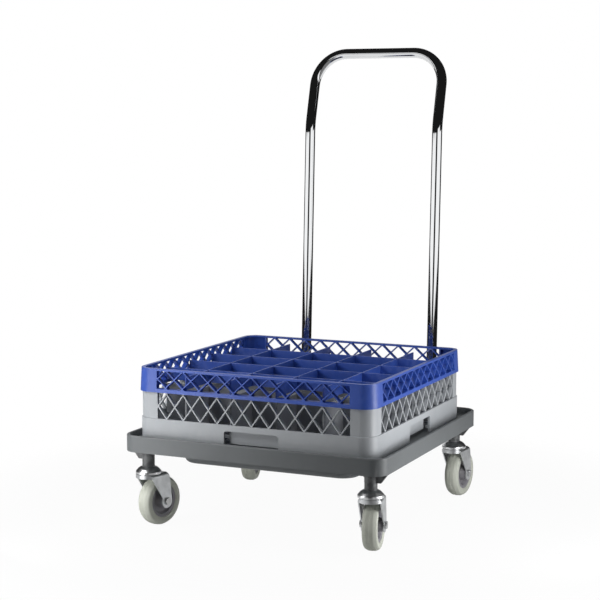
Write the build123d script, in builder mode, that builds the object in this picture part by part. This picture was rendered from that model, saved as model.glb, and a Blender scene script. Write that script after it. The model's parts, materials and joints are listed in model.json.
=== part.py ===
"""Rack trolley: a moulded tray on four swivel casters, with a chrome push handle at its back.

A dishwasher rack stands in the tray: an open base rack with lattice walls, and an extender with a
grid of compartments snapped on its top. Millimetres, +Z up, the handle towards +Y, the floor at Z = 0.
"""

import os
from math import cos, radians, sin, sqrt, tan

from build123d import *

os.makedirs("parts", exist_ok=True)

# Tray: a square moulding with a raised rim, a ledge for the rack and a sunk well.
# It is given as plain solids that meet at hairline cuts, and so is each moulding of the rack.
TRAY_SIZE = 555.0
TRAY_CORNER = 31.0
RIM_TOP = 191.5
LEDGE_TOP = 179.0
SKIRT_BOTTOM = 158.0
SKIRT_WALL = 6.0
DECK_WALL = 4.0
KERF = 0.02
WELL_WIDTH = 388.0
WELL_LENGTH = 402.0
WELL_FORWARD = 9.0
WELL_DRAFT = 6.0
WELL_CORNER = 38.0
WELL_BOTTOM = 128.0
WELL_ROUND = 10.0

# Push handle: one bent tube, leaning back, with a second bend towards the hands
TUBE_R = 11.0
TUBE_WALL = 1.5
HANDLE_HALF = 151.5
HANDLE_FOOT_Y = 328.5
HANDLE_FOOT_Z = 164.0
HANDLE_END_Y = 200.0
HANDLE_LEAN = 2.5
HANDLE_BEND_Z = 795.0
HANDLE_BACK_LEAN = 15.5
HANDLE_TOP_Z = 953.5
FOOT_BEND = 45.0
BACK_BEND = 150.0
CORNER_BEND = 72.0
BOLT_R = 3.0
BOLT_YS = (216.0, 254.0)

# Casters: swivel head under each neck, trailing fork, solid wheel
CASTER_HALF = 238.3
TRAIL = 29.5
WHEEL_R = 50.0
WHEEL_WIDTH = 30.0
NECK_R = 12.4
NECK_BOTTOM = 124.5
STEM_R = 6.0
PIN_R = 5.0
CAP_R = 25.6
CROWN_TOP = 109.5
SHEET = 2.5
FORK_HALF = 22.5
LEG_END_R = 14.0
AXLE_R = 4.0
BUSH_R = 7.0
RUNNING = 0.05

# Rack: a standard 500 mm square rack, base and extender, standing loose and a little off the middle
RACK_SIZE = 500.0
RACK_OFF_X = -3.5
RACK_OFF_Y = -2.0
RACK_CORNER = 28.0
RACK_WALL = 3.2
BAND_PROUD = 2.0
BAND_TOP = 224.5
BASE_TOP = 280.0
BASE_WINDOW_TOP = 277.0
FLOOR_BOTTOM = 186.0
FLOOR_THICK = 6.0
DIAMONDS = 11
DIAMOND_WIDTH = 37.0
WINDOW_WIDTH = 410.0
BASE_DIAMOND_HEIGHT = 50.5
BASE_STRAND = 2.8
LATTICE_DEPTH = 7.5
HOLD_WIDTH = 116.0
HOLD_TOP = 212.5
EXTENDER_BOTTOM = 277.3
EXTENDER_TOP = 324.0
EXTENDER_LOW_SIZE = 508.0
EXTENDER_TOP_SIZE = 502.6
EXTENDER_WINDOW = (284.5, 319.8)
EXTENDER_DIAMOND_HEIGHT = 34.0
EXTENDER_STRAND = 2.2
CELL = 97.6
DIVIDER = 2.5
DIVIDER_TOP = 310.0
BASE_DIVIDER_TOP = 277.0

# The tray's middle stands forward of the origin, which is under the middle of the whole trolley
BEND_Y = HANDLE_FOOT_Y + (HANDLE_BEND_Z - HANDLE_FOOT_Z) * tan(radians(HANDLE_LEAN))
GRIP_Y = BEND_Y + (HANDLE_TOP_Z - HANDLE_BEND_Z) * tan(radians(HANDLE_BACK_LEAN))
TRAY_Y = -(GRIP_Y + TUBE_R - TRAY_SIZE / 2) / 2
RACK_X = RACK_OFF_X
RACK_Y = TRAY_Y + RACK_OFF_Y


def level(height):
    """Horizontal plane over the tray's middle."""
    return Plane((0, TRAY_Y, height))


def across(y):
    """Upright plane parallel to the front: X to the right, height up."""
    return Plane((0, TRAY_Y + y, 0), x_dir=(1, 0, 0), z_dir=(0, -1, 0))


def rack_level(height):
    """Horizontal plane over the rack's middle."""
    return Plane((RACK_X, RACK_Y, height))


def rack_sides():
    """Upright planes through the rack's middle, one facing the front and one facing a side."""
    front = Plane((RACK_X, RACK_Y, 0), x_dir=(1, 0, 0), z_dir=(0, -1, 0))
    side = Plane((RACK_X, RACK_Y, 0), x_dir=(0, 1, 0), z_dir=(1, 0, 0))
    return front, side


def write(piece, name):
    """Label a finished piece and write it under its own name."""
    piece.part.label = name
    export_step(piece.part, f"parts/{name}.step")


# Tray: rim, skirt and ledge, with ribs and the handle's saddles under the ledge
inner_size = TRAY_SIZE - 2 * SKIRT_WALL
deck_bottom = LEDGE_TOP - DECK_WALL
side_rib_wall = 3.0
side_rib_bottom = 161.0
rib_spacing = 180.0
well_side = WELL_WIDTH / 2 - 1
well_front = WELL_LENGTH / 2 + WELL_FORWARD - 1
rib_end = TRAY_SIZE / 2 - SKIRT_WALL + 1
saddle_front = HANDLE_END_Y - 2
saddle_back = TRAY_SIZE / 2 - SKIRT_WALL
saddle_middle = (saddle_front + saddle_back) / 2
bolt_fit = 0.2
bolt_spots = [(side * HANDLE_HALF, y) for side in (-1, 1) for y in BOLT_YS]
floor_inset = WELL_DRAFT + DECK_WALL
tray_round = TRAY_SIZE - 2 * TRAY_CORNER


def well_plan(inset, mode=Mode.ADD):
    """Plan of the well, drawn in from its mouth by the inset."""
    with Locations((0, -WELL_FORWARD)):
        RectangleRounded(WELL_WIDTH - 2 * inset, WELL_LENGTH - 2 * inset, WELL_CORNER, mode=mode)


def corner_cuts(span_x, span_y, reach):
    """Plan of hairline cuts through the middles of four corners, whose round centres stand that far apart."""
    for side in (-1, 1):
        for end in (-1, 1):
            with Locations((side * span_x / 2, end * span_y / 2)):
                Rectangle(reach, KERF, rotation=45 * side * end)


with BuildPart() as tray:
    with BuildSketch(level(SKIRT_BOTTOM)):
        RectangleRounded(TRAY_SIZE, TRAY_SIZE, TRAY_CORNER)
    extrude(amount=RIM_TOP - SKIRT_BOTTOM)
    with BuildSketch(level(LEDGE_TOP)):
        RectangleRounded(inner_size, inner_size, TRAY_CORNER - SKIRT_WALL)
    extrude(amount=RIM_TOP - LEDGE_TOP, mode=Mode.SUBTRACT)
    with BuildSketch(level(SKIRT_BOTTOM)):
        RectangleRounded(inner_size, inner_size, TRAY_CORNER - SKIRT_WALL)
    extrude(amount=deck_bottom - SKIRT_BOTTOM, mode=Mode.SUBTRACT)
    fillet(tray.edges().group_by(Axis.Z)[-1], SKIRT_WALL * 0.42)
    # Ribs between the well and the skirt
    with BuildSketch(level(side_rib_bottom)):
        with GridLocations(well_side + rib_end, rib_spacing, 2, 2):
            Rectangle(rib_end - well_side, side_rib_wall)
        with Locations((0, -(well_front + rib_end) / 2)):
            with GridLocations(rib_spacing, 0, 2, 1):
                Rectangle(side_rib_wall, rib_end - well_front)
    extrude(amount=deck_bottom - side_rib_bottom)
    # Saddles that the handle's lower ends lie in, and the slots where they leave the skirt
    with BuildSketch(level(HANDLE_FOOT_Z)):
        with Locations((-HANDLE_HALF, saddle_middle), (HANDLE_HALF, saddle_middle)):
            Rectangle(3 * TUBE_R, saddle_back - saddle_front)
    extrude(amount=deck_bottom - HANDLE_FOOT_Z)
    with BuildSketch(across(TRAY_SIZE / 2 + 1)):
        with Locations((-HANDLE_HALF, HANDLE_FOOT_Z), (HANDLE_HALF, HANDLE_FOOT_Z)):
            Circle(TUBE_R + RUNNING)
        with Locations((-HANDLE_HALF, HANDLE_FOOT_Z - TUBE_R), (HANDLE_HALF, HANDLE_FOOT_Z - TUBE_R)):
            Rectangle(2 * (TUBE_R + RUNNING), 2 * TUBE_R)
    extrude(amount=TRAY_SIZE / 2 + 1 - saddle_front + 2, mode=Mode.SUBTRACT)
    with Locations(*[Location((x, TRAY_Y + y, LEDGE_TOP)) for x, y in bolt_spots]):
        CounterSinkHole(
            radius=BOLT_R + bolt_fit,
            counter_sink_radius=2 * BOLT_R + bolt_fit,
            depth=3 * DECK_WALL,
        )
    # Mouth of the well, and the cuts that part the four sides
    with BuildSketch(level(SKIRT_BOTTOM)):
        well_plan(0)
        corner_cuts(tray_round, tray_round, TRAY_SIZE / 3)
    extrude(amount=RIM_TOP - SKIRT_BOTTOM, mode=Mode.SUBTRACT)
write(tray, "tray")

# Well: a drafted basin sunk through the ledge and rounded at its foot, as four walls and a floor
with BuildPart() as tray_well:
    with BuildSketch(level(LEDGE_TOP)):
        well_plan(KERF)
    with BuildSketch(level(WELL_BOTTOM)):
        well_plan(WELL_DRAFT)
    loft()
    fillet(tray_well.edges().group_by(Axis.Z)[0], WELL_ROUND)
    with BuildSketch(level(LEDGE_TOP)):
        well_plan(DECK_WALL)
    with BuildSketch(level(WELL_BOTTOM + DECK_WALL)):
        well_plan(floor_inset)
    loft(mode=Mode.SUBTRACT)
    with BuildSketch(level(WELL_BOTTOM)):
        with Locations((0, -WELL_FORWARD)):
            corner_cuts(WELL_WIDTH - 2 * WELL_CORNER, WELL_LENGTH - 2 * WELL_CORNER, 3 * WELL_CORNER)
        well_plan(floor_inset, mode=Mode.SUBTRACT)
    extrude(amount=LEDGE_TOP - WELL_BOTTOM, mode=Mode.SUBTRACT)
    with BuildSketch(level(WELL_BOTTOM)):
        well_plan(floor_inset)
        well_plan(floor_inset + KERF, mode=Mode.SUBTRACT)
    extrude(amount=DECK_WALL, mode=Mode.SUBTRACT)
write(tray_well, "tray_well")

# Necks for the casters, each tied to the skirt by a chamfered rib with a small gusset behind it
neck_top = deck_bottom - KERF
rib_bottom = 138.0
rib_tip = TRAY_SIZE / 2 - 3
rib_inside = inner_size / 2 - KERF
rib_heel = 259.0
rib_wall = 6.0
gusset_bottom = 147.0
gusset_tip = CASTER_HALF - NECK_R - 15
with BuildPart() as tray_necks:
    with BuildSketch(level(NECK_BOTTOM)):
        with GridLocations(2 * CASTER_HALF, 2 * CASTER_HALF, 2, 2):
            Circle(NECK_R)
    extrude(amount=neck_top - NECK_BOTTOM)
    for side in (-1, 1):
        for end in (-1, 1):
            with BuildSketch(across(end * CASTER_HALF)):
                Polygon(
                    (side * (CASTER_HALF - NECK_R), rib_bottom),
                    (side * rib_heel, rib_bottom),
                    (side * rib_tip, SKIRT_BOTTOM - KERF),
                    (side * rib_inside, SKIRT_BOTTOM - KERF),
                    (side * rib_inside, neck_top),
                    (side * gusset_tip, neck_top),
                    (side * gusset_tip, SKIRT_BOTTOM),
                    (side * (CASTER_HALF - NECK_R), gusset_bottom),
                    align=None,
                )
            extrude(amount=rib_wall / 2, both=True)
    with BuildSketch(level(NECK_BOTTOM)):
        with GridLocations(2 * CASTER_HALF, 2 * CASTER_HALF, 2, 2):
            Circle(STEM_R + RUNNING)
    extrude(amount=neck_top - NECK_BOTTOM - DECK_WALL, mode=Mode.SUBTRACT)
write(tray_necks, "tray_necks")

# Push handle
handle_route = [
    (-HANDLE_HALF, TRAY_Y + HANDLE_END_Y, HANDLE_FOOT_Z),
    (-HANDLE_HALF, TRAY_Y + HANDLE_FOOT_Y, HANDLE_FOOT_Z),
    (-HANDLE_HALF, TRAY_Y + BEND_Y, HANDLE_BEND_Z),
    (-HANDLE_HALF, TRAY_Y + GRIP_Y, HANDLE_TOP_Z),
    (HANDLE_HALF, TRAY_Y + GRIP_Y, HANDLE_TOP_Z),
    (HANDLE_HALF, TRAY_Y + BEND_Y, HANDLE_BEND_Z),
    (HANDLE_HALF, TRAY_Y + HANDLE_FOOT_Y, HANDLE_FOOT_Z),
    (HANDLE_HALF, TRAY_Y + HANDLE_END_Y, HANDLE_FOOT_Z),
]
bend_radii = [FOOT_BEND, BACK_BEND, CORNER_BEND, CORNER_BEND, BACK_BEND, FOOT_BEND]

with BuildPart() as handle_tube:
    with BuildLine() as handle_line:
        FilletPolyline(*handle_route, radius=bend_radii)
    with BuildSketch(Plane(handle_route[0], x_dir=(1, 0, 0), z_dir=(0, 1, 0))):
        Circle(TUBE_R)
        Circle(TUBE_R - TUBE_WALL, mode=Mode.SUBTRACT)
    sweep(path=handle_line.line)
    with BuildSketch(level(HANDLE_FOOT_Z)):
        with Locations(*bolt_spots):
            Circle(BOLT_R + bolt_fit)
    extrude(amount=2 * TUBE_R, both=True, mode=Mode.SUBTRACT)
write(handle_tube, "handle_tube")

plug_plane = across(HANDLE_END_Y)
plug_head = 3.0
plug_reach = 9.0
with BuildPart() as handle_end_plugs:
    with BuildSketch(plug_plane):
        with Locations((-HANDLE_HALF, HANDLE_FOOT_Z), (HANDLE_HALF, HANDLE_FOOT_Z)):
            Circle(TUBE_R)
    extrude(amount=plug_head)
    fillet(handle_end_plugs.edges().group_by(Axis.Y)[0], 1.5)
    with BuildSketch(plug_plane):
        with Locations((-HANDLE_HALF, HANDLE_FOOT_Z), (HANDLE_HALF, HANDLE_FOOT_Z)):
            Circle(TUBE_R - TUBE_WALL - RUNNING)
    extrude(amount=-plug_reach)
write(handle_end_plugs, "handle_end_plugs")

# Handle bolts: countersunk in the ledge, through the tube, with washer and nut below it
washer_top = HANDLE_FOOT_Z - TUBE_R
washer_thick = 1.6
nut_height = 5.0
nut_flats = 10.0
bolt_end = washer_top - washer_thick - nut_height - 2
with BuildPart() as handle_bolts:
    with BuildSketch(level(bolt_end)):
        with Locations(*bolt_spots):
            Circle(BOLT_R)
    extrude(amount=LEDGE_TOP - bolt_end)
    with BuildSketch(level(LEDGE_TOP - BOLT_R)):
        with Locations(*bolt_spots):
            Circle(BOLT_R)
    extrude(amount=BOLT_R, taper=-45)
write(handle_bolts, "handle_bolts")

with BuildPart() as handle_washers:
    with BuildSketch(level(washer_top - washer_thick)):
        with Locations(*bolt_spots):
            Circle(2 * BOLT_R)
            Circle(BOLT_R + bolt_fit, mode=Mode.SUBTRACT)
    extrude(amount=washer_thick)
write(handle_washers, "handle_washers")

with BuildPart() as handle_nuts:
    with BuildSketch(level(washer_top - washer_thick - nut_height)):
        with Locations(*bolt_spots):
            RegularPolygon(nut_flats / 2, 6, major_radius=False)
            Circle(BOLT_R + RUNNING, mode=Mode.SUBTRACT)
    extrude(amount=nut_height)
write(handle_nuts, "handle_nuts")

# Casters: name, side, end, and the way that each fork trails, in degrees from +X
CASTERS = (
    ("fl", -1, -1, 76.0),
    ("fr", 1, -1, 101.0),
    ("rl", -1, 1, -76.5),
    ("rr", 1, 1, 85.5),
)

cap_bottom = CROWN_TOP + 0.7
cap_shoulder = 113.2
cap_dome = 26.0
cap_sheet = 2.5
collar_r = 9.0
collar_bottom = 116.5
stem_top = deck_bottom - DECK_WALL - 8
rivet_r = 8.5
rivet_height = 3.0
rivet_gap = 0.3
bearing_inner = 12.0
bearing_outer = 19.0
bearing_height = 4.5
bearing_bevel = 1.0
fork_inner = FORK_HALF - SHEET
fork_length = 2 * TRAIL + WHEEL_R
crown_back = 31.0
leg_waist = (37.0, 101.0)
flange_bottom = 101.5
leg_front = (-12.5, flange_bottom)
fork_bend = 6.0
axle_head = 4.0
axle_nut = 4.0
axle_flats = 13.0
hub_half = fork_inner - 0.8
boss_r = 13.0
web_half = 4.0
dish_r = 27.5
rim_half = 12.5
tyre_inner = 33.5
tyre_round = 7.5

for name, side, end, heading in CASTERS:
    stem_x = side * CASTER_HALF
    stem_y = TRAY_Y + end * CASTER_HALF
    trail = Vector(cos(radians(heading)), sin(radians(heading)), 0)
    axle_dir = Vector(-sin(radians(heading)), cos(radians(heading)), 0)
    axle_point = Vector(stem_x, stem_y, WHEEL_R) + trail * TRAIL
    stem_axis = Axis((stem_x, stem_y, 0), (0, 0, 1))
    axle_axis = Axis(axle_point, axle_dir)
    # Upright planes along the trail and across it through the axle, and a plan along the trail
    side_plane = Plane((stem_x, stem_y, 0), x_dir=trail, z_dir=-axle_dir)
    axle_plane = Plane(axle_point, x_dir=axle_dir, z_dir=trail)
    stem_plan = Plane((stem_x, stem_y, 0), x_dir=trail, z_dir=(0, 0, 1))

    # King pin: stem in the neck, collar under the cap, pin through the crown, riveted below
    rivet_top = CROWN_TOP - SHEET - rivet_gap
    with BuildPart() as stem:
        with BuildSketch(side_plane):
            Polygon(
                (0, stem_top),
                (STEM_R - 1, stem_top),
                (STEM_R, stem_top - 1),
                (STEM_R, NECK_BOTTOM - cap_sheet),
                (collar_r, NECK_BOTTOM - cap_sheet),
                (collar_r, collar_bottom),
                (PIN_R, collar_bottom),
                (PIN_R, rivet_top),
                (rivet_r, rivet_top),
                (rivet_r - 1, rivet_top - rivet_height),
                (0, rivet_top - rivet_height),
                align=None,
            )
        revolve(axis=stem_axis)
    write(stem, f"stem_{name}")

    # Swivel cap: domed cup pressed from sheet, held between the neck and the collar
    with BuildPart() as swivel_cap:
        with BuildSketch(side_plane):
            with BuildLine():
                Line((STEM_R + RUNNING, NECK_BOTTOM), (NECK_R + 1, NECK_BOTTOM))
                RadiusArc((NECK_R + 1, NECK_BOTTOM), (CAP_R, cap_shoulder), cap_dome)
                Polyline(
                    (CAP_R, cap_shoulder),
                    (CAP_R - 0.6, cap_bottom),
                    (CAP_R - cap_sheet, cap_bottom),
                    (CAP_R - cap_sheet, cap_shoulder - 1),
                    (NECK_R, NECK_BOTTOM - cap_sheet),
                    (STEM_R + RUNNING, NECK_BOTTOM - cap_sheet),
                    (STEM_R + RUNNING, NECK_BOTTOM),
                )
            make_face()
        revolve(axis=stem_axis)
    write(swivel_cap, f"swivel_cap_{name}")

    # Swivel bearing: a closed ring of balls that lies on the crown, inside the cap
    with BuildPart() as swivel_bearing:
        with BuildSketch(Plane((stem_x, stem_y, CROWN_TOP))):
            Circle(bearing_outer)
            Circle(bearing_inner, mode=Mode.SUBTRACT)
        extrude(amount=bearing_height)
        chamfer(swivel_bearing.edges().group_by(Axis.Z)[-1], bearing_bevel)
    write(swivel_bearing, f"swivel_bearing_{name}")

    # Fork: drawn from one sheet, with a crown, a flange round its front and two tapered legs
    with BuildPart() as fork:
        with BuildSketch(axle_plane):
            with Locations((0, CROWN_TOP / 2 - WHEEL_R)):
                Rectangle(2 * FORK_HALF, CROWN_TOP)
        extrude(amount=fork_length, both=True)
        top_edges = fork.edges().filter_by(Axis(axle_point, trail)).group_by(Axis.Z)[-1]
        fillet(top_edges, fork_bend)
        with BuildSketch(stem_plan):
            Circle(CAP_R - SHEET)
            with Locations((fork_length / 2, 0)):
                Rectangle(fork_length, 2 * fork_inner)
            Rectangle(2 * fork_length, 2 * fork_inner, mode=Mode.INTERSECT)
        extrude(amount=CROWN_TOP - SHEET, mode=Mode.SUBTRACT)
        with BuildSketch(side_plane):
            with BuildLine():
                leg_end = CenterArc((TRAIL, WHEEL_R), LEG_END_R, 152, 213)
                Polyline(
                    leg_end @ 0,
                    leg_front,
                    (-CAP_R - 1, flange_bottom),
                    (-CAP_R - 1, CROWN_TOP),
                    (crown_back, CROWN_TOP),
                    leg_waist,
                    leg_end @ 1,
                )
            make_face()
        extrude(amount=FORK_HALF + 1, both=True, mode=Mode.INTERSECT)
        with BuildSketch(stem_plan):
            Circle(CAP_R)
            with Locations((TRAIL, 0)):
                Rectangle(2 * TRAIL, 2 * CAP_R)
        extrude(amount=CROWN_TOP + 1, mode=Mode.INTERSECT)
        with BuildSketch(Plane((stem_x, stem_y, CROWN_TOP))):
            Circle(PIN_R + RUNNING)
        extrude(amount=-2 * SHEET, mode=Mode.SUBTRACT)
        with BuildSketch(side_plane):
            with Locations((TRAIL, WHEEL_R)):
                Circle(AXLE_R + RUNNING)
        extrude(amount=FORK_HALF + 1, both=True, mode=Mode.SUBTRACT)
    write(fork, f"fork_{name}")

    # Axle: bolt with a hex head, lock nut, and the bush that the wheel turns on
    axle_side = Plane(axle_point, x_dir=trail, z_dir=axle_dir)
    with BuildPart() as axle_bolt:
        with BuildSketch(axle_side.offset(-FORK_HALF - axle_head)):
            RegularPolygon(axle_flats / 2, 6, major_radius=False)
        extrude(amount=axle_head)
        with BuildSketch(axle_side.offset(-FORK_HALF)):
            Circle(AXLE_R)
        extrude(amount=2 * FORK_HALF + axle_nut + 0.5)
    write(axle_bolt, f"axle_bolt_{name}")

    with BuildPart() as axle_nut_piece:
        with BuildSketch(axle_side.offset(FORK_HALF)):
            RegularPolygon(axle_flats / 2, 6, major_radius=False)
            Circle(AXLE_R + RUNNING, mode=Mode.SUBTRACT)
        extrude(amount=axle_nut)
    write(axle_nut_piece, f"axle_nut_{name}")

    with BuildPart() as axle_bush:
        with BuildSketch(axle_side.offset(-fork_inner)):
            Circle(BUSH_R)
            Circle(AXLE_R + RUNNING, mode=Mode.SUBTRACT)
        extrude(amount=2 * fork_inner)
    write(axle_bush, f"axle_bush_{name}")

    # Wheel centre: boss, dished web and rim turned in one
    with BuildPart() as wheel_centre:
        with BuildSketch(axle_plane):
            with BuildLine():
                half = Polyline(
                    (0, BUSH_R + RUNNING),
                    (hub_half, BUSH_R + RUNNING),
                    (hub_half, boss_r - 1.5),
                    (hub_half - 1.5, boss_r),
                    (web_half + 2, boss_r + 2),
                    (web_half, boss_r + 5),
                    (web_half, dish_r - 4),
                    (web_half + 2.5, dish_r - 1),
                    (rim_half, dish_r),
                    (rim_half, tyre_inner),
                    (0, tyre_inner),
                )
                mirror(half, about=Plane.YZ)
            make_face()
        revolve(axis=axle_axis)
    write(wheel_centre, f"wheel_centre_{name}")

    # Tyre: solid ring on the centre's rim, rounded at the shoulders
    with BuildPart() as tyre:
        with BuildSketch(axle_plane) as tread:
            with Locations((0, (tyre_inner + WHEEL_R) / 2)):
                Rectangle(WHEEL_WIDTH, WHEEL_R - tyre_inner)
            fillet(tread.vertices().group_by(Axis.Y)[-1], tyre_round)
            chamfer(tread.vertices().group_by(Axis.Y)[0], 2.0)
        revolve(axis=axle_axis)
    write(tyre, f"tyre_{name}")


def lattice_holes(low, high, middle, height, strand):
    """Holes between crossed strands: a row of whole diamonds and the half rows over and under it.

    The rows are cut off by the window's edges, which run from low to high.
    """
    reach = height / 2 - strand / 2 * sqrt(1 + (height / DIAMOND_WIDTH) ** 2)
    spread = DIAMOND_WIDTH / 2 - strand / 2 * sqrt(1 + (DIAMOND_WIDTH / height) ** 2)
    diamond = [(spread, 0), (0, reach), (-spread, 0), (0, -reach)]
    with Locations((0, middle)):
        with GridLocations(DIAMOND_WIDTH, height, DIAMONDS, 1):
            Polygon(*diamond, align=None)
        with GridLocations(DIAMOND_WIDTH, height, DIAMONDS + 1, 2):
            Polygon(*diamond, align=None)
    with Locations((0, (low + high) / 2)):
        Rectangle(WINDOW_WIDTH, high - low, mode=Mode.INTERSECT)


def rounded_ring(outer, outer_corner, inner, inner_corner):
    """Plan of a square wall with rounded corners."""
    RectangleRounded(outer, outer, outer_corner)
    RectangleRounded(inner, inner, inner_corner, mode=Mode.SUBTRACT)


def all_sides(middle, width, depth):
    """Plan of a bar along each of the rack's four sides, its middle that far from the rack's."""
    with GridLocations(0, 2 * middle, 1, 2):
        Rectangle(width, depth)
    with GridLocations(2 * middle, 0, 2, 1):
        Rectangle(depth, width)


# Base rack: lower band with a hand-hold recess on each side, deep lattice walls, open floor
band_size = RACK_SIZE + 2 * BAND_PROUD
wall_inner = RACK_SIZE - 2 * RACK_WALL
inner_corner = RACK_CORNER - RACK_WALL
rack_round = RACK_SIZE - 2 * RACK_CORNER
base_middle = BAND_TOP + BASE_DIAMOND_HEIGHT / 2
lattice_width = WINDOW_WIDTH + 6
lattice_inner = RACK_SIZE / 2 - LATTICE_DEPTH
lattice_span = LATTICE_DEPTH - 1
floor_top = FLOOR_BOTTOM + FLOOR_THICK
floor_size = wall_inner - 0.2
floor_bar = 5.0
floor_cells = 10
floor_pitch = (floor_size - floor_bar) / floor_cells
rim_width = 7.0
hold_depth = 12.0
hold_panel = 104.0
hold_round = 5.0
panel_wall = 3.0
panel_middle = band_size / 2 - hold_depth - panel_wall / 2
panel_inner = panel_middle - panel_wall / 2
shelf_span = wall_inner / 2 + 1 - panel_middle

with BuildPart() as rack_base:
    with BuildSketch(rack_level(LEDGE_TOP)):
        rounded_ring(band_size, RACK_CORNER + BAND_PROUD, wall_inner, inner_corner)
    extrude(amount=BAND_TOP - LEDGE_TOP)
    with BuildSketch(rack_level(BAND_TOP)):
        rounded_ring(RACK_SIZE, RACK_CORNER, wall_inner, inner_corner)
        all_sides(lattice_inner + lattice_span / 2, lattice_width, lattice_span)
    extrude(amount=BASE_TOP - BAND_TOP)
    with BuildSketch(rack_level(BASE_WINDOW_TOP)):
        rounded_ring(RACK_SIZE, RACK_CORNER, RACK_SIZE - 2 * rim_width, RACK_CORNER - rim_width)
    extrude(amount=BASE_TOP - BASE_WINDOW_TOP)
    for plane in rack_sides():
        with BuildSketch(plane):
            lattice_holes(BAND_TOP, BASE_WINDOW_TOP, base_middle, BASE_DIAMOND_HEIGHT, BASE_STRAND)
        extrude(amount=RACK_SIZE, both=True, mode=Mode.SUBTRACT)
        with BuildSketch(plane) as notch:
            with Locations((0, (LEDGE_TOP - 1 + HOLD_TOP) / 2)):
                Rectangle(HOLD_WIDTH, HOLD_TOP - LEDGE_TOP + 1)
            fillet(notch.vertices().group_by(Axis.Y)[-1], hold_round)
        extrude(amount=RACK_SIZE, both=True, mode=Mode.SUBTRACT)
    # Back panel of each hand-hold, and the ledge that ties it to the wall
    with BuildSketch(rack_level(FLOOR_BOTTOM)):
        all_sides(panel_middle, hold_panel, panel_wall)
    extrude(amount=HOLD_TOP + panel_wall - FLOOR_BOTTOM)
    with BuildSketch(rack_level(HOLD_TOP)):
        all_sides(panel_middle + shelf_span / 2, hold_panel, shelf_span)
    extrude(amount=panel_wall)
    with BuildSketch(rack_level(LEDGE_TOP)):
        corner_cuts(rack_round, rack_round, 4 * RACK_CORNER)
    extrude(amount=BASE_TOP - LEDGE_TOP, mode=Mode.SUBTRACT)
    # Floor: a grid of bars between the walls, stepped in behind the hand-holds
    with BuildSketch(rack_level(FLOOR_BOTTOM)):
        RectangleRounded(floor_size, floor_size, inner_corner)
        with GridLocations(floor_pitch, floor_pitch, floor_cells, floor_cells):
            Rectangle(floor_pitch - floor_bar, floor_pitch - floor_bar, mode=Mode.SUBTRACT)
        with GridLocations(0, 2 * RACK_SIZE, 1, 2):
            Rectangle(HOLD_WIDTH, 2 * (RACK_SIZE - panel_inner + KERF), mode=Mode.SUBTRACT)
        with GridLocations(2 * RACK_SIZE, 0, 2, 1):
            Rectangle(2 * (RACK_SIZE - panel_inner + KERF), HOLD_WIDTH, mode=Mode.SUBTRACT)
        all_sides(panel_inner - KERF - floor_bar / 2, HOLD_WIDTH + 2 * floor_bar, floor_bar)
    extrude(amount=FLOOR_THICK)
write(rack_base, "rack_base")

# Extender: drafted lattice walls with a rim at the top and a ledge that stands on the base rack
window_low, window_high = EXTENDER_WINDOW
extender_middle = window_high - EXTENDER_DIAMOND_HEIGHT / 2 + EXTENDER_STRAND * 0.7
low_corner = RACK_CORNER + 3
low_inner = EXTENDER_LOW_SIZE - 2 * RACK_WALL
top_inner = EXTENDER_TOP_SIZE - 2 * RACK_WALL
lap_ledge = 11.0
extender_rim = 8.0
ledge_inner = RACK_SIZE - 2 * lap_ledge
rim_inner = EXTENDER_TOP_SIZE - 2 * extender_rim

with BuildPart() as rack_extender:
    with BuildSketch(rack_level(EXTENDER_BOTTOM)):
        RectangleRounded(EXTENDER_LOW_SIZE, EXTENDER_LOW_SIZE, low_corner)
    with BuildSketch(rack_level(EXTENDER_TOP)):
        RectangleRounded(EXTENDER_TOP_SIZE, EXTENDER_TOP_SIZE, RACK_CORNER)
    loft()
    with BuildSketch(rack_level(EXTENDER_BOTTOM)):
        RectangleRounded(low_inner, low_inner, low_corner - RACK_WALL)
    with BuildSketch(rack_level(EXTENDER_TOP)):
        RectangleRounded(top_inner, top_inner, inner_corner)
    loft(mode=Mode.SUBTRACT)
    with BuildSketch(rack_level(window_low)):
        all_sides(lattice_inner + LATTICE_DEPTH / 2, lattice_width, LATTICE_DEPTH + 1)
    extrude(amount=window_high - window_low)
    with BuildSketch(rack_level(window_high)):
        rounded_ring(EXTENDER_TOP_SIZE - 2, RACK_CORNER - 1, rim_inner, RACK_CORNER - extender_rim)
    extrude(amount=EXTENDER_TOP - window_high)
    with BuildSketch(rack_level(BASE_TOP)):
        rounded_ring(EXTENDER_TOP_SIZE, RACK_CORNER, ledge_inner, RACK_CORNER - lap_ledge)
    extrude(amount=window_low - BASE_TOP)
    for plane in rack_sides():
        with BuildSketch(plane):
            lattice_holes(
                window_low, window_high, extender_middle, EXTENDER_DIAMOND_HEIGHT, EXTENDER_STRAND
            )
        extrude(amount=EXTENDER_LOW_SIZE, both=True, mode=Mode.SUBTRACT)
    with BuildSketch(rack_level(EXTENDER_BOTTOM)):
        corner_cuts(rack_round, rack_round, 4 * RACK_CORNER)
    extrude(amount=EXTENDER_TOP - EXTENDER_BOTTOM, mode=Mode.SUBTRACT)
write(rack_extender, "rack_extender")

# Dividers: strips slotted half way where they cross, the grey ones on the base rack's floor,
# stepped in over the hand-holds, and the blue ones on the extender's ledge
divider_reach = 2 * (lattice_inner - 0.7)
low_reach = 2 * (panel_inner - 0.4)
step_top = HOLD_TOP + panel_wall + 0.5
slot_width = DIVIDER + 0.3
divider_sets = (
    ("base_dividers", floor_top, BASE_DIVIDER_TOP),
    ("dividers", window_low, DIVIDER_TOP),
)

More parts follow.
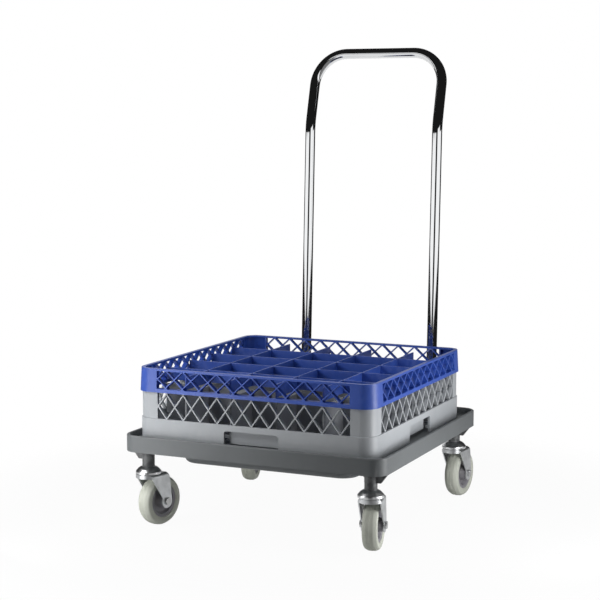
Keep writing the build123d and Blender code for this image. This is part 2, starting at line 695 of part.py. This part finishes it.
for set_name, strip_low, strip_top in divider_sets:
    strip_middle = (strip_low + strip_top) / 2
    with BuildPart() as strips_across:
        with BuildSketch(rack_level(strip_low)):
            with GridLocations(0, CELL, 1, 4):
                Rectangle(divider_reach, DIVIDER)
        extrude(amount=strip_top - strip_low)
        with BuildSketch(rack_level(strip_middle)):
            with GridLocations(CELL, CELL, 4, 4):
                Rectangle(slot_width, 2 * DIVIDER)
        extrude(amount=strip_top - strip_middle, mode=Mode.SUBTRACT)
        with BuildSketch(rack_level(0)):
            rounded_ring(RACK_SIZE, RACK_CORNER, low_reach, RACK_CORNER)
        extrude(amount=step_top, mode=Mode.SUBTRACT)
    write(strips_across, f"{set_name}_across")

    with BuildPart() as strips_along:
        with BuildSketch(rack_level(strip_low)):
            with GridLocations(CELL, 0, 4, 1):
                Rectangle(DIVIDER, divider_reach)
        extrude(amount=strip_top - strip_low)
        with BuildSketch(rack_level(strip_low)):
            with GridLocations(CELL, CELL, 4, 4):
                Rectangle(2 * DIVIDER, slot_width)
        extrude(amount=strip_middle - strip_low, mode=Mode.SUBTRACT)
        with BuildSketch(rack_level(0)):
            rounded_ring(RACK_SIZE, RACK_CORNER, low_reach, RACK_CORNER)
        extrude(amount=step_top, mode=Mode.SUBTRACT)
    write(strips_along, f"{set_name}_along")
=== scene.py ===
"""Looks of the rack trolley: finishes, finer pieces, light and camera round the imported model, in metres."""

import json
import math

import bmesh
import bpy
import numpy as np
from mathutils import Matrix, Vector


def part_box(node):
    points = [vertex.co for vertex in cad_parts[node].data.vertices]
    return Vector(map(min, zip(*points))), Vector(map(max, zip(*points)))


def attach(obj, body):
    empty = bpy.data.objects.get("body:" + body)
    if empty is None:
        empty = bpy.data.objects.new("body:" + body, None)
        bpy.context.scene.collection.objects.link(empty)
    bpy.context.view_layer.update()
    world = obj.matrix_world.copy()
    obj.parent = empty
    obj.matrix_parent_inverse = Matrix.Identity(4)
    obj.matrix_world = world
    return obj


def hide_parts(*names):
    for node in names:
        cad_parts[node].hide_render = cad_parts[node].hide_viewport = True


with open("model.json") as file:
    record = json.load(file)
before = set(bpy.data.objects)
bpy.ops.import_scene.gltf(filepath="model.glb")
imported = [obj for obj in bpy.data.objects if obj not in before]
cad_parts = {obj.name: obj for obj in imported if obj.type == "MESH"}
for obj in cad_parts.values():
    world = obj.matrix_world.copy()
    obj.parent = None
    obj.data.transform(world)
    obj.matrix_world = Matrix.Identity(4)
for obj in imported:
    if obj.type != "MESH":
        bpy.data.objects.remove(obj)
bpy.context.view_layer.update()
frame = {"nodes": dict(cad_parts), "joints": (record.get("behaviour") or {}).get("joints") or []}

# Tray: one injection moulding of dark grey polypropylene, with a fine spark-eroded grain outside.
# Its edges are rounded in the mould and rims rub pale where racks slide over them. The necks under
# its corners are part of the same shot; their darker colour is painted shade, for the shade under the tray's
# overhang.


class Value:
    """A number that varies over a surface: a socket, whose sums, differences and products add Math nodes."""

    def __init__(self, finish, socket):
        self.finish, self.socket = finish, socket

    def maths(self, operation, first, second):
        return self.finish.node("ShaderNodeMath", {"operation": operation}, {0: first, 1: second})

    def __add__(self, other):
        return self.maths("ADD", self, other)

    def __sub__(self, other):
        return self.maths("SUBTRACT", self, other)

    def __rsub__(self, other):
        return self.maths("SUBTRACT", other, self)

    def __mul__(self, other):
        return self.maths("MULTIPLY", self, other)

    __radd__ = __add__
    __rmul__ = __mul__

    def larger(self, other):
        return self.maths("MAXIMUM", self, other)

    def step(self, low, high):
        """0 below low, 1 above high and a smooth ramp between them."""
        limits = {"Value": self, "From Min": low, "From Max": high}
        return self.finish.node("ShaderNodeMapRange", {"interpolation_type": "SMOOTHSTEP"}, limits)


class Finish:
    """A node tree that ends in one shader. The method node adds every other node."""

    def __init__(self, owner):
        owner.use_nodes = True
        self.owner, self.tree = owner, owner.node_tree

    def node(self, kind, settings=None, sockets=None, out=0):
        """Add a node of that kind, set its settings, then its sockets, and give back one output."""
        made = self.tree.nodes.new(kind)
        for key, value in (settings or {}).items():
            setattr(made, key, value)
        for key, value in (sockets or {}).items():
            self.feed(made.inputs[key], value)
        return Value(self, made.outputs[out])

    def feed(self, socket, value):
        """Link a value to a socket, or write a constant on it."""
        if isinstance(value, Value):
            self.tree.links.new(value.socket, socket)
        else:
            socket.default_value = value

    def shader(self, **sockets):
        """Set the Principled shader's sockets, named with underscores for spaces."""
        for key, value in sockets.items():
            self.feed(self.tree.nodes["Principled BSDF"].inputs[key.replace("_", " ")], value)

    def spot(self, own=None):
        """Object coordinates, or a piece's own coordinates from an attribute."""
        if own:
            return self.node("ShaderNodeAttribute", {"attribute_name": own}, out="Vector")
        return self.node("ShaderNodeTexCoord", out="Object")

    def axis(self, name, own=None):
        """One coordinate, in metres."""
        return self.node("ShaderNodeSeparateXYZ", {}, {0: self.spot(own)}, name)

    def noise(self, scale, detail=2.0, rough=0.5, stretch=(1, 1, 1), own=None):
        """Cloudy noise about 0.5, with that many features to the metre, stretched along the axes."""
        place = self.node("ShaderNodeMapping", {}, {"Vector": self.spot(own), "Scale": stretch})
        sockets = {"Vector": place, "Scale": scale, "Detail": detail, "Roughness": rough}
        return self.node("ShaderNodeTexNoise", {}, sockets)

    def edges(self, low=0.52, high=0.60):
        """1 on outward edges and 0 on flat faces and in hollows."""
        return self.node("ShaderNodeNewGeometry", out="Pointiness").step(low, high)

    def blend(self, share, first, second):
        """Colour between two colours."""
        return self.node("ShaderNodeMix", {"data_type": "RGBA"}, {0: share, 6: first, 7: second}, 2)

    def bump(self, height, depth, strength=1.0):
        """Normal of a surface that stands up by depth metres where height is 1."""
        return self.node("ShaderNodeBump", {}, {"Height": height, "Distance": depth, "Strength": strength})

    def wear(self, *nodes):
        """Put this finish on CAD nodes in place of their plain one."""
        for name in nodes:
            mesh = frame["nodes"][name].data
            mesh.materials.clear()
            mesh.materials.append(self.owner)


def rgb(red, green, blue):
    """A linear colour as a socket takes it."""
    return (red, green, blue, 1.0)


def settle(piece, body, slot, finish, *nodes):
    """Give a new piece its finish and body, and let it stand for CAD nodes. The slot is not used."""
    bpy.context.scene.collection.objects.link(piece)
    piece.data.materials.append(finish.owner)
    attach(piece, body)
    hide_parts(*nodes)


def softened(node, radius, body, slot, finish, clamp=True):
    """A CAD node in one skin, its hairline cuts closed and its edges rounded to the radius.

    The node's triangles are merged. At its four corners the cuts run along the diagonals, so a face
    of a cut is upright and looks across the diagonal that its corner lies on; these faces go.
    The clamp keeps roundings from crossing, but then the shortest edge sets the radius of all of them.
    """
    weld, slack = 0.00004, 0.001
    level, turn = math.radians(0.3), math.radians(30)
    low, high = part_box(node)
    middle = (low + high) / 2
    skin = bmesh.new()
    skin.from_mesh(frame["nodes"][node].data)
    bmesh.ops.remove_doubles(skin, verts=skin.verts, dist=weld)
    skin.normal_update()
    cuts = []
    for face in skin.faces:
        away = face.calc_center_median() - middle
        look = face.normal
        across = look.x * look.y * away.x * away.y < 0
        if across and abs(look.z) < slack and abs(abs(look.x) - math.sqrt(0.5)) < slack:
            cuts.append(face)
    bmesh.ops.delete(skin, geom=cuts, context="FACES")
    bmesh.ops.dissolve_limit(skin, angle_limit=level, verts=skin.verts, edges=skin.edges)
    for face in skin.faces:
        face.smooth = True
    mesh = bpy.data.meshes.new(f"{node}_skin")
    skin.to_mesh(mesh)
    skin.free()
    mesh.set_sharp_from_angle(angle=turn)
    piece = bpy.data.objects.new(f"{node}_skin", mesh)
    bevel = piece.modifiers.new("rounding", "BEVEL")
    bevel.width, bevel.segments, bevel.angle_limit = radius, 2, turn
    bevel.limit_method, bevel.harden_normals = "ANGLE", True
    bevel.use_clamp_overlap = clamp
    settle(piece, body, slot, finish, node)


def grained(name, dark, light):
    """Moulded plastic with a fine grain, clouded, and pale where its rim and edges are rubbed."""
    finish = Finish(bpy.data.materials.new(name))
    cloud = finish.noise(7, 4, 0.6)
    scratch = finish.noise(60, 2, 0.5, (1, 1, 22)).step(0.70, 0.78)
    rim = finish.axis("Z").step(tray_top - 0.004, tray_top) * finish.noise(45, 3).step(0.3, 0.7)
    edge = finish.edges() * finish.noise(90, 3).step(0.35, 0.7)
    rubbed = (rim * 0.45).larger(scratch * 0.3).larger(edge * 0.6)
    tone = finish.blend(cloud.step(0.3, 0.7), dark, light)
    finish.shader(
        Base_Color=finish.blend(rubbed, tone, rgb(0.22, 0.225, 0.23)),
        Roughness=0.44 + 0.12 * cloud - 0.1 * rubbed,
        Normal=finish.bump(finish.noise(1400, 2, 0.55), 0.0002, 0.5),
    )
    return finish


tray_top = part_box("tray")[1].z
tray_plastic = grained("tray_plastic", rgb(0.116, 0.126, 0.132), rgb(0.134, 0.145, 0.151))
# Painted shade: the necks wear a darker copy of the tray plastic, standing in for the shade under the tray.
shaded_neck_plastic = grained("shaded_neck_plastic", rgb(0.052, 0.055, 0.058), rgb(0.066, 0.070, 0.073))
tray_plastic.wear("tray_well")
shaded_neck_plastic.wear("tray_necks")
# Here the clamp stays, and leaves the edges all but sharp: without it, slivers stand along the
# corner lines of the ledge.
softened("tray", 0.0008, "base", "tray_plastic", tray_plastic)

# Push handle: one steel tube, bent cold to a hoop, chrome plated and polished.
# Its ends turn forward under the tray. Hands have hazed the plate on the grip.


def rounded(points, radii, steps, margin=0):
    """Places and headings along a line of points whose corners are arcs of the given radii.

    At a corner the line turns by an angle. The arc starts and ends the radius times the tangent of half
    that angle away from it, and between its two spokes it turns evenly, as sines of the shares of the angle.
    A margin adds a place so far before and after each arc, which keeps the runs between arcs straight.
    """
    points, radii = np.asarray(points, float), np.asarray(radii, float)[:, None]
    runs = np.diff(points, axis=0)
    runs /= np.linalg.norm(runs, axis=1, keepdims=True)
    before, after = runs[:-1], runs[1:]
    turn = np.arccos(np.clip((before * after).sum(1), -1, 1))[:, None]
    reach = radii * np.tan(turn / 2)
    first, last = points[1:-1] - before * reach, points[1:-1] + after * reach
    inward = after - before
    inward /= np.linalg.norm(inward, axis=1, keepdims=True)
    centre = points[1:-1] + inward * radii / np.cos(turn / 2)
    share = np.linspace(0, 1, steps)[None, :, None]
    turn = turn[:, :, None]
    leaving, nearing = np.sin((1 - share) * turn), np.sin(share * turn)
    spokes = leaving * (first - centre)[:, None] + nearing * (last - centre)[:, None]
    places = centre[:, None] + spokes / np.sin(turn)
    heading = (leaving * before[:, None] + nearing * after[:, None]) / np.sin(turn)
    if margin:
        run_in, run_out = (first - before * margin)[:, None], (last + after * margin)[:, None]
        places = np.concatenate([run_in, places, run_out], 1)
        heading = np.concatenate([before[:, None], heading, after[:, None]], 1)
    size = points.shape[1]
    places = np.vstack([points[:1], places.reshape(-1, size), points[-1:]])
    heading = np.vstack([runs[:1], heading.reshape(-1, size), runs[-1:]])
    return places, heading


def skin_of(name, grid):
    """Object from a grid of points that closes on itself both ways, with a face between each four."""
    rows, columns = grid.shape[:2]
    index = np.arange(rows * columns).reshape(rows, columns)
    below, beside = np.roll(index, -1, 0), np.roll(index, -1, 1)
    faces = np.stack([index, below, np.roll(below, -1, 1), beside], -1).reshape(-1, 4)
    mesh = bpy.data.meshes.new(name)
    mesh.from_pydata(grid.reshape(-1, 3).tolist(), [], faces.tolist())
    mesh.polygons.foreach_set("use_smooth", np.ones(len(faces), bool))
    return bpy.data.objects.new(name, mesh)


tube_radius, tube_bore = 0.0110, 0.0095
handle_low, handle_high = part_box("handle_tube")
leg_x = handle_high.x - tube_radius
end_y = handle_low.y
foot_length, foot_z = 0.1285, 0.1640
foot_y = end_y + foot_length
leg_lean, grip_lean = math.radians(2.5), math.radians(15.5)
lean_z, grip_z = 0.7950, handle_high.z - tube_radius
lean_y = foot_y + (lean_z - foot_z) * math.tan(leg_lean)
grip_y = lean_y + (grip_z - lean_z) * math.tan(grip_lean)
half_route = [
    (leg_x, end_y, foot_z), (leg_x, foot_y, foot_z), (leg_x, lean_y, lean_z), (leg_x, grip_y, grip_z),
]
handle_route = [(-x, y, z) for x, y, z in half_route] + half_route[::-1]
bends = [0.045, 0.150, 0.072]
bend_steps, bend_margin, tube_sides = 26, 0.002, 64
centre_line, heading = rounded(handle_route, bends + bends[::-1], bend_steps, bend_margin)
lean_back = np.array([0, -math.cos(grip_lean), math.sin(grip_lean)])
sideways = np.cross(heading, lean_back)
sideways /= np.linalg.norm(sideways, axis=1, keepdims=True)
upward = np.cross(sideways, heading)
around = np.linspace(0, 2 * math.pi, tube_sides, endpoint=False)[None, :, None]
spoke = np.cos(around) * sideways[:, None] + np.sin(around) * upward[:, None]
outside = centre_line[:, None] + tube_radius * spoke
inside = centre_line[:, None] + tube_bore * spoke
handle_tube = skin_of("handle_hoop", np.concatenate([outside, inside[::-1]]))
handle_tube.data.set_sharp_from_angle(angle=math.radians(50))
handle_chrome = Finish(bpy.data.materials.new("handle_chrome"))
haze = handle_chrome.noise(24, 4, 0.6).step(0.4, 0.75)
grip = handle_chrome.axis("Z").step(grip_z - 0.10, grip_z - 0.02)
handle_chrome.shader(
    Base_Color=handle_chrome.blend(haze * 0.5, rgb(0.82, 0.83, 0.84), rgb(0.76, 0.77, 0.78)),
    Metallic=1.0,
    Roughness=0.03 + 0.04 * haze * (0.4 + grip),
    Normal=handle_chrome.bump(handle_chrome.noise(60, 2), 0.00003, 0.2),
)
settle(handle_tube, "base", "handle_chrome", handle_chrome, "handle_tube")

# Handle plugs: black polyethylene caps, moulded and pushed into the tube's ends under the tray.
# They keep wash water out of the tube.
plug_plastic = Finish(bpy.data.materials.new("plug_plastic"))
plug_cloud = plug_plastic.noise(120, 3)
plug_plastic.shader(
    Base_Color=plug_plastic.blend(plug_cloud, rgb(0.022, 0.022, 0.022), rgb(0.04, 0.04, 0.04)),
    Roughness=0.4 + 0.2 * plug_cloud,
    Normal=plug_plastic.bump(plug_plastic.noise(2200), 0.0001, 0.5),
)
plug_plastic.wear("handle_end_plugs")

# Fasteners: bolts, washers, nuts, king pins and bushes of bright zinc plated steel.
# The plate is cloudy and a little dull, with turning marks. Axle heads have their corners turned off.
CASTERS = ("fl", "fr", "rl", "rr")
fastener_steel = Finish(bpy.data.materials.new("fastener_steel"))
bloom = fastener_steel.noise(90, 4, 0.6)
fastener_steel.shader(
    Base_Color=fastener_steel.blend(bloom.step(0.35, 0.7), rgb(0.62, 0.63, 0.64), rgb(0.50, 0.50, 0.49)),
    Metallic=1.0,
    Roughness=0.3 + 0.2 * bloom,
    Normal=fastener_steel.bump(fastener_steel.noise(1800, 2), 0.00004, 0.5),
)
fastener_steel.wear("handle_bolts", "handle_washers", "handle_nuts")
for caster in CASTERS:
    fastener_steel.wear(*[f"{kind}_{caster}" for kind in ("stem", "swivel_bearing", "axle_bush")])
    for kind in ("axle_bolt", "axle_nut"):
        softened(f"{kind}_{caster}", 0.0012, f"caster_{caster}", "fastener_steel", fastener_steel)

# Swivel caps: cups spun from steel sheet, chrome plated, that cover the ball race of each caster.
# A rolled bead stiffens the lip, and the dome above it meets the neck of the tray.


def turned(name, profile, centre, axis, steps=96):
    """Ring turned from a closed profile of places along the axis and distances from it.

    A point goes round the axis on the two directions square to it, as the cosine and sine of its angle.
    It keeps its own place as an attribute: along the axis, then along those two directions.
    """
    profile = np.asarray(profile, float)
    along, out = profile[:, 0], profile[:, 1]
    signed_area = (along * np.roll(out, -1) - np.roll(along, -1) * out).sum()
    if signed_area < 0:
        along, out = along[::-1], out[::-1]
    axis = np.asarray(axis, float) / np.linalg.norm(axis)
    first = np.cross(axis, (0, 0, 1) if abs(axis[2]) < 0.9 else (1, 0, 0))
    first /= np.linalg.norm(first)
    second = np.cross(axis, first)
    angle = np.linspace(0, 2 * math.pi, steps, endpoint=False)
    own = np.stack([
        np.repeat(along[:, None], steps, 1),
        out[:, None] * np.cos(angle),
        out[:, None] * np.sin(angle),
    ], -1)
    piece = skin_of(name, np.asarray(centre, float) + own @ np.stack([axis, first, second]))
    piece.data.attributes.new("own", "FLOAT_VECTOR", "POINT").data.foreach_set("vector", own.ravel())
    piece.data.set_sharp_from_angle(angle=math.radians(50))
    return piece


def loop(points, radii, steps=7):
    """Closed profile through the points, with each corner rounded to its radius."""
    points = np.asarray(points, float)
    ring = np.vstack([points[-1:], points, points[:1]])
    return rounded(ring, radii, steps)[0][1:-1]


joints = {joint["name"]: joint for joint in frame["joints"]}
neck_z = 0.1245
cap_profile = loop(
    [
        (neck_z, 0.0061), (neck_z, 0.0132), (0.1212, 0.0196), (0.1152, 0.0250), (0.1142, 0.0253),
        (0.1102, 0.0256), (0.1102, 0.0240), (0.1128, 0.0236), (0.1186, 0.0186), (0.1222, 0.0126),
        (0.1222, 0.0061),
    ],
    [0.0003, 0.0010, 0.0120, 0.0020, 0.0004, 0.0005, 0.0003, 0.0020, 0.0100, 0.0008, 0.0003],
)
cap_chrome = Finish(bpy.data.materials.new("cap_chrome"))
cap_cloud = cap_chrome.noise(70, 3, 0.6)
spun_lines = cap_chrome.noise(900, 1, 0.5, (0, 1, 1), "own")
cap_chrome.shader(
    Base_Color=cap_chrome.blend(cap_cloud.step(0.4, 0.7), rgb(0.78, 0.79, 0.80), rgb(0.68, 0.69, 0.70)),
    Metallic=1.0,
    Roughness=0.26 + 0.10 * cap_cloud,
    Normal=cap_chrome.bump(spun_lines, 0.00002, 0.3),
)
for caster in CASTERS:
    stem_x, stem_y, _ = joints[f"swivel_{caster}"]["pos_m"]
    cap = turned(f"swivel_cup_{caster}", cap_profile, (stem_x, stem_y, 0), (0, 0, 1))
    settle(cap, "base", "caster_chrome", cap_chrome, f"swivel_cap_{caster}")

# Forks: drawn from steel sheet in one blow and zinc plated, duller than the caps.
# Drawing leaves streaks down the legs, the plate clouds, and the cut edges are broken.
fork_zinc = Finish(bpy.data.materials.new("fork_zinc"))
fork_cloud = fork_zinc.noise(55, 4, 0.6)
fork_streak = fork_zinc.noise(260, 2, 0.5, (1, 1, 0.08))
fork_zinc.shader(
    Base_Color=fork_zinc.blend(fork_cloud.step(0.3, 0.7), rgb(0.62, 0.635, 0.65), rgb(0.50, 0.515, 0.525)),
    Metallic=1.0,
    Roughness=0.28 + 0.14 * fork_cloud + 0.06 * fork_streak,
    Normal=fork_zinc.bump(fork_streak, 0.00005, 0.5),
)
for caster in CASTERS:
    softened(f"fork_{caster}", 0.0003, f"caster_{caster}", "caster_chrome", fork_zinc, False)

# Wheel centres: turned from grey nylon, with a boss on the bush, a dished web and a rim for the tyre.
# Floor dust settles in the dish.
hub_half, web_half, rim_half = 0.0192, 0.0040, 0.0125
bush_bore, boss_out, dish_out, rim_out = 0.00705, 0.0130, 0.0275, 0.0335
centre_half = [
    (hub_half, bush_bore), (hub_half, boss_out - 0.001), (web_half + 0.001, boss_out + 0.0025),
    (web_half, dish_out - 0.003), (rim_half - 0.001, dish_out), (rim_half, rim_out),
]
centre_radii = [0.0005, 0.0015, 0.0030, 0.0030, 0.0010, 0.0004]
centre_profile = loop(
    centre_half + [(-along, out) for along, out in centre_half[::-1]], centre_radii + centre_radii[::-1])
wheel_plastic = Finish(bpy.data.materials.new("wheel_plastic"))
wheel_cloud = wheel_plastic.noise(60, 4, 0.5, (1, 1, 1), "own")
wheel_dust = wheel_plastic.noise(25, 4, 0.6, (1, 1, 1), "own").step(0.45, 0.7)
wheel_tone = wheel_plastic.blend(wheel_cloud, rgb(0.24, 0.235, 0.26), rgb(0.29, 0.285, 0.31))
wheel_plastic.shader(
    Base_Color=wheel_plastic.blend(wheel_dust * 0.4, wheel_tone, rgb(0.34, 0.33, 0.31)),
    Roughness=0.40 + 0.15 * wheel_cloud + 0.15 * wheel_dust,
    Normal=wheel_plastic.bump(wheel_plastic.noise(1300, 2, 0.5, (1, 1, 1), "own"), 0.0001, 0.4),
)

# Tyres: solid rings of pale grey non-marking rubber, moulded on the centres' rims.
# A crowned tread carries the mould's parting line, and a groove runs round each side by the rim.
tyre_half, tyre_out, tyre_in = 0.0150, 0.0500, 0.0335
tyre_side = [
    (0.00035, tyre_out - 0.0001), (0.0006, tyre_out - 0.0004), (0.0072, tyre_out - 0.0006),
    (tyre_half - 0.0004, 0.0455), (tyre_half, 0.0400), (tyre_half - 0.0003, 0.0376),
    (tyre_half - 0.0011, 0.0370), (tyre_half - 0.0006, 0.0362), (tyre_half - 0.0020, tyre_in),
]
tyre_radii = [0.0001, 0.0003, 0.0060, 0.0050, 0.0020, 0.0004, 0.0004, 0.0004, 0.0004]
tyre_profile = loop(
    [(-along, out) for along, out in tyre_side[::-1]] + tyre_side, tyre_radii[::-1] + tyre_radii, 6)
tyre_grey = Finish(bpy.data.materials.new("tyre_grey"))
tyre_cloud = tyre_grey.noise(38, 5, 0.65, (1, 1, 1), "own")
spin_across, spin_up = tyre_grey.axis("Y", "own"), tyre_grey.axis("Z", "own")
from_axle_squared = spin_across * spin_across + spin_up * spin_up
shoulder, tread = 0.0480, 0.0493
on_tread = from_axle_squared.step(shoulder ** 2, tread ** 2)
scuffs = tyre_grey.noise(180, 3, 0.6, (0.2, 1, 1), "own").step(0.52, 0.72)
tyre_tone = tyre_grey.blend(tyre_cloud.step(0.3, 0.75), rgb(0.62, 0.64, 0.565), rgb(0.55, 0.57, 0.495))
tyre_grey.shader(
    Base_Color=tyre_grey.blend(on_tread * scuffs * 0.12, tyre_tone, rgb(0.42, 0.42, 0.38)),
    Roughness=0.48 + 0.16 * tyre_cloud + 0.12 * on_tread,
    Normal=tyre_grey.bump(tyre_grey.noise(900, 3, 0.5, (1, 1, 1), "own"), 0.00015, 0.5),
)
for caster in CASTERS:
    hub, spin = joints[f"roll_{caster}"]["pos_m"], joints[f"roll_{caster}"]["axis"]
    centre_piece = turned(f"wheel_hub_{caster}", centre_profile, hub, spin)
    settle(centre_piece, f"wheel_{caster}", "wheel_plastic", wheel_plastic, f"wheel_centre_{caster}")
    tyre_piece = turned(f"wheel_tyre_{caster}", tyre_profile, hub, spin, 128)
    settle(tyre_piece, f"wheel_{caster}", "tyre_grey", tyre_grey, f"tyre_{caster}")

# Base rack: a square moulding of pale grey polypropylene, with lattice walls, hand-holds and an open floor.
# Washing has dulled the satin skin, and other racks have rubbed its lower band.


def washed(name, dark, light, rubbed, roughness):
    """Satin plastic that washing has clouded, pale where it is rubbed in level streaks and along edges."""
    finish = Finish(bpy.data.materials.new(name))
    cloud = finish.noise(8, 4, 0.6)
    streak = finish.noise(38, 3, 0.5, (1, 1, 13)).step(0.67, 0.79)
    edge = finish.edges() * finish.noise(80, 3).step(0.3, 0.7)
    tone = finish.blend(cloud.step(0.3, 0.7), dark, light)
    finish.shader(
        Base_Color=finish.blend((streak * 0.3).larger(edge * 0.45), tone, rubbed),
        Roughness=roughness + 0.14 * cloud,
        Normal=finish.bump(finish.noise(1100, 2), 0.00012, 0.4),
    )
    return finish


rack_grey = washed(
    "rack_grey", rgb(0.418, 0.440, 0.465), rgb(0.449, 0.472, 0.497), rgb(0.54, 0.55, 0.56), 0.40)
# Painted shade: the base dividers are the rack's own grey plastic, given a darker copy for the shade inside
# the rack.
shaded_divider_grey = washed(
    "shaded_divider_grey", rgb(0.23, 0.24, 0.26), rgb(0.27, 0.28, 0.30), rgb(0.40, 0.41, 0.42), 0.42)
softened("rack_base", 0.0003, "rack", "rack_grey", rack_grey, False)
for way in ("across", "along"):
    softened(f"base_dividers_{way}", 0.0004, "rack", "rack_grey", shaded_divider_grey)

# Extender and dividers: blue polypropylene, a frame of lattice walls snapped on the base rack,
# with slotted strips that make twenty-five compartments. Cutlery and glass feet have rubbed the edges.
rack_blue = washed(
    "rack_blue", rgb(0.033, 0.088, 0.43), rgb(0.038, 0.101, 0.48), rgb(0.16, 0.22, 0.58), 0.32)
softened("rack_extender", 0.00025, "rack", "rack_blue", rack_blue, False)
for way in ("across", "along"):
    softened(f"dividers_{way}", 0.0004, "rack", "rack_blue", rack_blue)

# Stage: a pale floor under the trolley that keeps its soft shadow and fades into the white round it.
# Metal doesn't mirror it, because the studio below holds the ground that metal sees.
floor_half, floor_z = 3.0, -0.0004
floor_glow, fade_start, fade_end = 0.96, 0.25, 0.85
floor_mesh = bpy.data.meshes.new("floor")
floor_corners = [(x * floor_half, y * floor_half, floor_z) for x, y in ((-1, -1), (1, -1), (1, 1), (-1, 1))]
floor_mesh.from_pydata(floor_corners, [], [(0, 1, 2, 3)])
floor = bpy.data.objects.new("floor", floor_mesh)
bpy.context.scene.collection.objects.link(floor)
floor_finish = Finish(bpy.data.materials.new("floor_white"))
seen = floor_finish.node("ShaderNodeLightPath", out="Is Camera Ray")
mirrored = floor_finish.node("ShaderNodeLightPath", out="Is Glossy Ray")
through = floor_finish.node("ShaderNodeLightPath", out="Is Transmission Ray")
paper = floor_finish.node("ShaderNodeBsdfDiffuse", {}, {"Color": rgb(0.50, 0.50, 0.50)})
glow = floor_finish.node("ShaderNodeEmission", {}, {"Color": rgb(1, 1, 1), "Strength": 1.0})
clear = floor_finish.node("ShaderNodeBsdfTransparent", {}, {"Color": rgb(1, 1, 1)})
floor_x, floor_y = floor_finish.axis("X"), floor_finish.axis("Y")
away_squared = floor_x * floor_x + floor_y * floor_y
shine = seen.larger(through) * floor_glow
white = floor_finish.node("ShaderNodeMixShader", {}, {0: shine, 1: paper, 2: glow})
gone = (seen * away_squared.step(fade_start, fade_end)).larger(mirrored)
floor_look = floor_finish.node("ShaderNodeMixShader", {}, {0: gone, 1: white, 2: clear})
floor_finish.feed(floor_finish.tree.nodes["Material Output"].inputs["Surface"], floor_look)
floor_mesh.materials.append(floor_finish.owner)

# Camera: at the photograph's angle, aimed along the view that was fitted to the rack's edges.
camera_data = bpy.data.cameras.new("camera")
camera_data.sensor_width = 36.0
camera_data.lens = 93.86
half_pixel = 0.5 / 600
camera_data.shift_x, camera_data.shift_y = -half_pixel, half_pixel
camera = bpy.data.objects.new("camera", camera_data)
camera.location = (1.3013, -2.9592, 0.8252)
camera_yaw, camera_pitch = math.radians(24.46), math.radians(6.9)
camera.rotation_euler = (math.pi / 2 - camera_pitch, 0, camera_yaw)
bpy.context.scene.collection.objects.link(camera)
bpy.context.scene.camera = camera

# Studio: what the camera sees directly is white. Metal sees a white wall round the front, low on the
# horizon and higher where one screen stands on the right, white ground close by, a dark gap at the
# camera and dark elsewhere.
world = bpy.data.worlds.new("studio")
bpy.context.scene.world = world
studio = Finish(world)
look = studio.node("ShaderNodeTexCoord", out="Generated")
height = studio.node("ShaderNodeSeparateXYZ", {}, {0: look}, "Z")


def toward(degrees):
    """Cosine of the angle between a view into the studio and a level line so far right of the camera."""
    turn = camera_yaw + math.radians(degrees)
    level = (math.sin(turn), -math.cos(turn), 0)
    return studio.node("ShaderNodeVectorMath", {"operation": "DOT_PRODUCT"}, {0: look, 1: level}, "Value")


facing, rightward = toward(-9), toward(90)
wall_top = 1 - (height - 0.04 * facing).step(0.033, 0.047)
screen_top = toward(33).step(0.90, 0.93) * (1 - height.step(0.15, 0.18))
wall_foot = (height + 0.012 * rightward).step(-0.064, -0.050)
round_front, camera_gap = facing.step(-0.33, -0.17), facing.step(0.94, 0.97)
wall = wall_top.larger(screen_top) * wall_foot * round_front * (1 - camera_gap)
ground = (1 - height.step(-0.19, -0.15)) * (0.85 - 0.65 * toward(30).step(0.42, 0.60))
mirror_white = 0.011 + (1.07 * wall).larger(ground)
seen = studio.node("ShaderNodeLightPath", out="Is Camera Ray")
through = studio.node("ShaderNodeLightPath", out="Is Transmission Ray")
mirrored = studio.node("ShaderNodeLightPath", out="Is Glossy Ray")
ambient = 0.02
direct = seen.larger(through)
strength = direct + (1 - direct) * (mirrored * mirror_white + (1 - mirrored) * ambient)
studio.feed(studio.tree.nodes["Background"].inputs["Strength"], strength)
studio.feed(studio.tree.nodes["Background"].inputs["Color"], rgb(1, 1, 1))

# Lamps: square soft lamps to the left, to the right, above and behind, which the camera doesn't see.
# Light linking flags them off from the handle, whose plate mirrors the studio alone.
shield = bpy.data.collections.new("shield")
shield.objects.link(handle_tube)
shield.collection_objects[0].light_linking.link_state = "EXCLUDE"


def lamp(name, place, aim, size, watts):
    """Square soft lamp that stands at a place and faces another, flagged off from the handle's plate."""
    data = bpy.data.lights.new(name, "AREA")
    data.size, data.energy = size, watts
    made = bpy.data.objects.new(name, data)
    made.location = place
    beam = np.array(aim, float) - np.array(place, float)
    across = math.hypot(beam[0], beam[1])
    made.rotation_euler = (math.atan2(across, -beam[2]), 0, math.atan2(beam[1], beam[0]) - math.pi / 2)
    made.visible_camera = False
    made.light_linking.receiver_collection = shield
    bpy.context.scene.collection.objects.link(made)


lamp("left_high_lamp", (-0.52, -0.72, 0.71), (-0.20, -0.30, 0.22), 0.4, 3.4)
lamp("left_lamp", (-0.54, -0.95, 0.30), (-0.20, -0.30, 0.22), 0.3, 1.3)
lamp("left_low_lamp", (-0.40, -0.60, 0.12), (-0.25, -0.30, 0.15), 0.2, 0.50)
lamp("top_lamp", (0.00, -0.30, 1.40), (0.00, -0.07, 0.25), 0.6, 2.0)
lamp("right_high_lamp", (0.60, -0.30, 1.30), (0.00, -0.07, 0.25), 0.5, 3.2)
lamp("right_far_lamp", (0.90, 0.30, 0.40), (0.25, -0.10, 0.20), 0.3, 1.05)
lamp("right_lamp", (0.75, -0.20, 0.25), (0.25, -0.10, 0.20), 0.3, 1.7)
lamp("right_low_lamp", (0.68, -0.19, 0.12), (0.27, -0.13, 0.13), 0.2, 0.72)
lamp("back_lamp", (-0.80, 1.45, 0.66), (0.00, 0.10, 0.30), 1.2, 4.0)
bpy.context.scene.view_settings.view_transform = "Standard"
